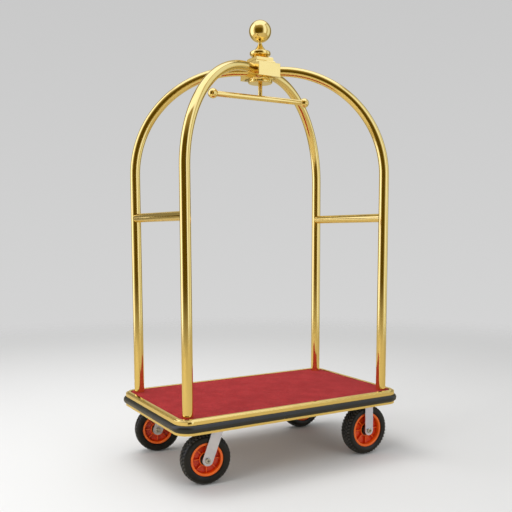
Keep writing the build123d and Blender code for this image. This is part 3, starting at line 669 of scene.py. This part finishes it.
def makeTread(side, end, tread):
    # blocks moulded on the crown in five rows
    shape = tyreShape
    fall = shape["shoulderFall"]
    crownRadius = (shape["shoulderHalf"] ** 2 + fall ** 2) / (2 * fall)
    count = round(2 * pi * tread / shape["pitch"])
    pitch = 2 * pi * tread / count
    depth = shape["treadDepth"] * shape["blockRoot"]   # the blocks root in the carcass
    bm = bmesh.new()
    for row in shape["rows"]:
        across = row["across"]
        drop = crownRadius - (crownRadius ** 2 - across ** 2) ** 0.5
        place = (
            Matrix.Rotation(row["shift"] * pitch / tread, 4, "Y")
            @ Matrix.Translation((0, across, tread - drop - depth / 2))
            @ Matrix.Rotation(-row["lean"] * across / crownRadius, 4, "X")
        )
        size = (pitch * row["length"], row["width"], depth)
        slant = row["slant"] * (1 if across >= 0 else -1)
        block = addBlock(bm, size, place, shape["blockBevel"], slant=slant, taper=shape["blockTaper"])
        repeatRoundY(bm, block, count)
    finishPiece(
        bm, f"tyreTread_{side}_{end}", "black_tyre", f"wheel_{side}_{end}", wheelPlace(side, end),
        sharp=30, finish="worn_tread",
    )


def makeRim(side, end):
    shape = rimShape
    lip = outerRadius(f"rim_{side}_{end}")
    seat = lip - shape["seatDepth"]
    barrel = seat - shape["barrelWall"]
    lipHalf, lipIn = shape["lipHalf"], shape["lipHalf"] - shape["barrelWall"]
    bossInner = shape["bossRadius"] - shape["bossWall"]
    half = [
        (seat, lipIn, shape["edgeRound"]), (lip, lipIn, shape["edgeRound"]),
        (lip, lipHalf, shape["lipRound"]), (lip - shape["lipWidth"], lipHalf, shape["lipRound"]),
        (barrel - shape["draft"], shape["webHalf"], shape["barrelRound"]),
        (shape["bossRadius"] + shape["bossDraft"], shape["webHalf"], shape["webRound"]),
        (shape["bossRadius"], shape["bossHalf"], shape["bossRound"]),
        (bossInner, shape["bossHalf"], shape["bossRound"]),
        (bossInner - shape["boreDraft"], shape["webHalf"], 0), (shape["hubRadius"], shape["webHalf"], 0),
    ]
    corners = half + [(radius, -along, rounding) for radius, along, rounding in reversed(half)]
    bm = bmesh.new()
    turnOnY(bm, roundOff(corners, shape["roundSteps"]), shape["steps"])
    reach = barrel - shape["bossRadius"]
    depth = shape["ribHalf"] - shape["webHalf"] + shape["ribRoot"]
    size = (shape["ribThickness"], reach + 2 * shape["ribRoot"], depth)
    for face in (1, -1):
        place = (
            Matrix.Rotation(pi / 2, 4, "Y")
            @ Matrix.Translation((0, face * (shape["ribHalf"] - depth / 2), shape["bossRadius"] + reach / 2))
            @ Matrix.Rotation(-face * pi / 2, 4, "X")
        )
        rib = addBlock(bm, size, place, shape["ribBevel"], taper=shape["ribTaper"])
        repeatRoundY(bm, rib, shape["ribs"])
    finishPiece(
        bm, f"rimPlastic_{side}_{end}", "orange_rim", f"wheel_{side}_{end}", wheelPlace(side, end),
        replaced=[f"rim_{side}_{end}"], sharp=38,
    )


def makeHubInsertAndShade(side, end):
    # a black hub insert that also lines the deep recess round the fork end: partly a real part, partly painted
    # shade where the recess lies in shadow
    shape = hubShape
    half = [
        (shape["sleeveRadius"], shape["sealHalf"], 0),
        (shape["bore"] - shape["boreDraft"], shape["sealHalf"], 0),
        (shape["bore"], shape["half"], shape["boreRound"]),
        (shape["radius"], shape["half"], shape["endRound"]),
        (shape["radius"], shape["flangeHalf"], shape["stepRound"]),
        (shape["flangeRadius"], shape["flangeHalf"], shape["flangeRound"]),
        (shape["flangeRadius"], rimShape["webHalf"], 0), (shape["radius"], rimShape["webHalf"], 0),
    ]
    corners = half + [(radius, -along, rounding) for radius, along, rounding in reversed(half)]
    bm = bmesh.new()
    turnOnY(bm, roundOff(corners), shape["steps"])
    finishPiece(
        bm, f"hubInsertAndShade_{side}_{end}", "dark_bumper", f"wheel_{side}_{end}", wheelPlace(side, end), sharp=40
    )


for side in sides:
    for end in ends:
        makeTyre(side, end)
        makeRim(side, end)
        makeHubInsertAndShade(side, end)
print("wheels made")

# Carpet

carpetShape = {
    "cell": 0.0036, "cornerRadius": 0.037, "edgeRoll": 0.0055, "edgeDrop": 0.0022,
    "unevenness": 0.00045, "waveScale": 21, "tuftLift": 0.00035, "tuftScale": 260, "sink": 0.0004,
    "underside": 0.0001,
}


def makeCarpet():
    shape = carpetShape
    low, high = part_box("carpet")
    halfX, halfY, top = high.x, high.y, high.z
    columns, rows = round(2 * halfX / shape["cell"]), round(2 * halfY / shape["cell"])
    bm = bmesh.new()
    bmesh.ops.create_grid(bm, x_segments=columns, y_segments=rows, size=1.0)
    bmesh.ops.scale(bm, vec=(halfX, halfY, 1), verts=bm.verts)
    radius = shape["cornerRadius"]
    for corner in bm.verts:
        x, y = corner.co.x, corner.co.y
        inX, inY = halfX - radius, halfY - radius
        overX, overY = max(abs(x) - inX, 0), max(abs(y) - inY, 0)
        over = hypot(overX, overY)
        if overX and overY:
            # slide the square corner's points in onto its arc
            square = max(overX, overY)
            pull = square / over
            overX, overY, over = overX * pull, overY * pull, square
            x = (inX + overX) * (1 if x > 0 else -1)
            y = (inY + overY) * (1 if y > 0 else -1)
        edge = radius - over if overX and overY else min(halfX - abs(x), halfY - abs(y))
        bend = max(0.0, 1 - edge / shape["edgeRoll"])
        wide, fine = shape["waveScale"], shape["tuftScale"]
        wave = noise.noise(Vector((x * wide, y * wide, 0.3))) * shape["unevenness"]
        tuft = noise.noise(Vector((x * fine, y * fine, 4.1))) * shape["tuftLift"]
        corner.co = (x, y, top + wave + tuft - shape["sink"] - shape["edgeDrop"] * bend * bend)
    rim = [edge for edge in bm.edges if edge.is_boundary]
    skirt = bmesh.ops.extrude_edge_only(bm, edges=rim)["geom"]
    hem = [item for item in skirt if isinstance(item, bmesh.types.BMVert)]
    for corner in hem:
        corner.co.z = low.z + shape["underside"]
    bmesh.ops.holes_fill(bm, edges=[edge for edge in bm.edges if edge.is_boundary], sides=0)
    carpet = finishPiece(bm, "carpetSheet", "red_carpet", "cart", replaced=["carpet"], sharp=80)


makeCarpet()
print("carpet laid")
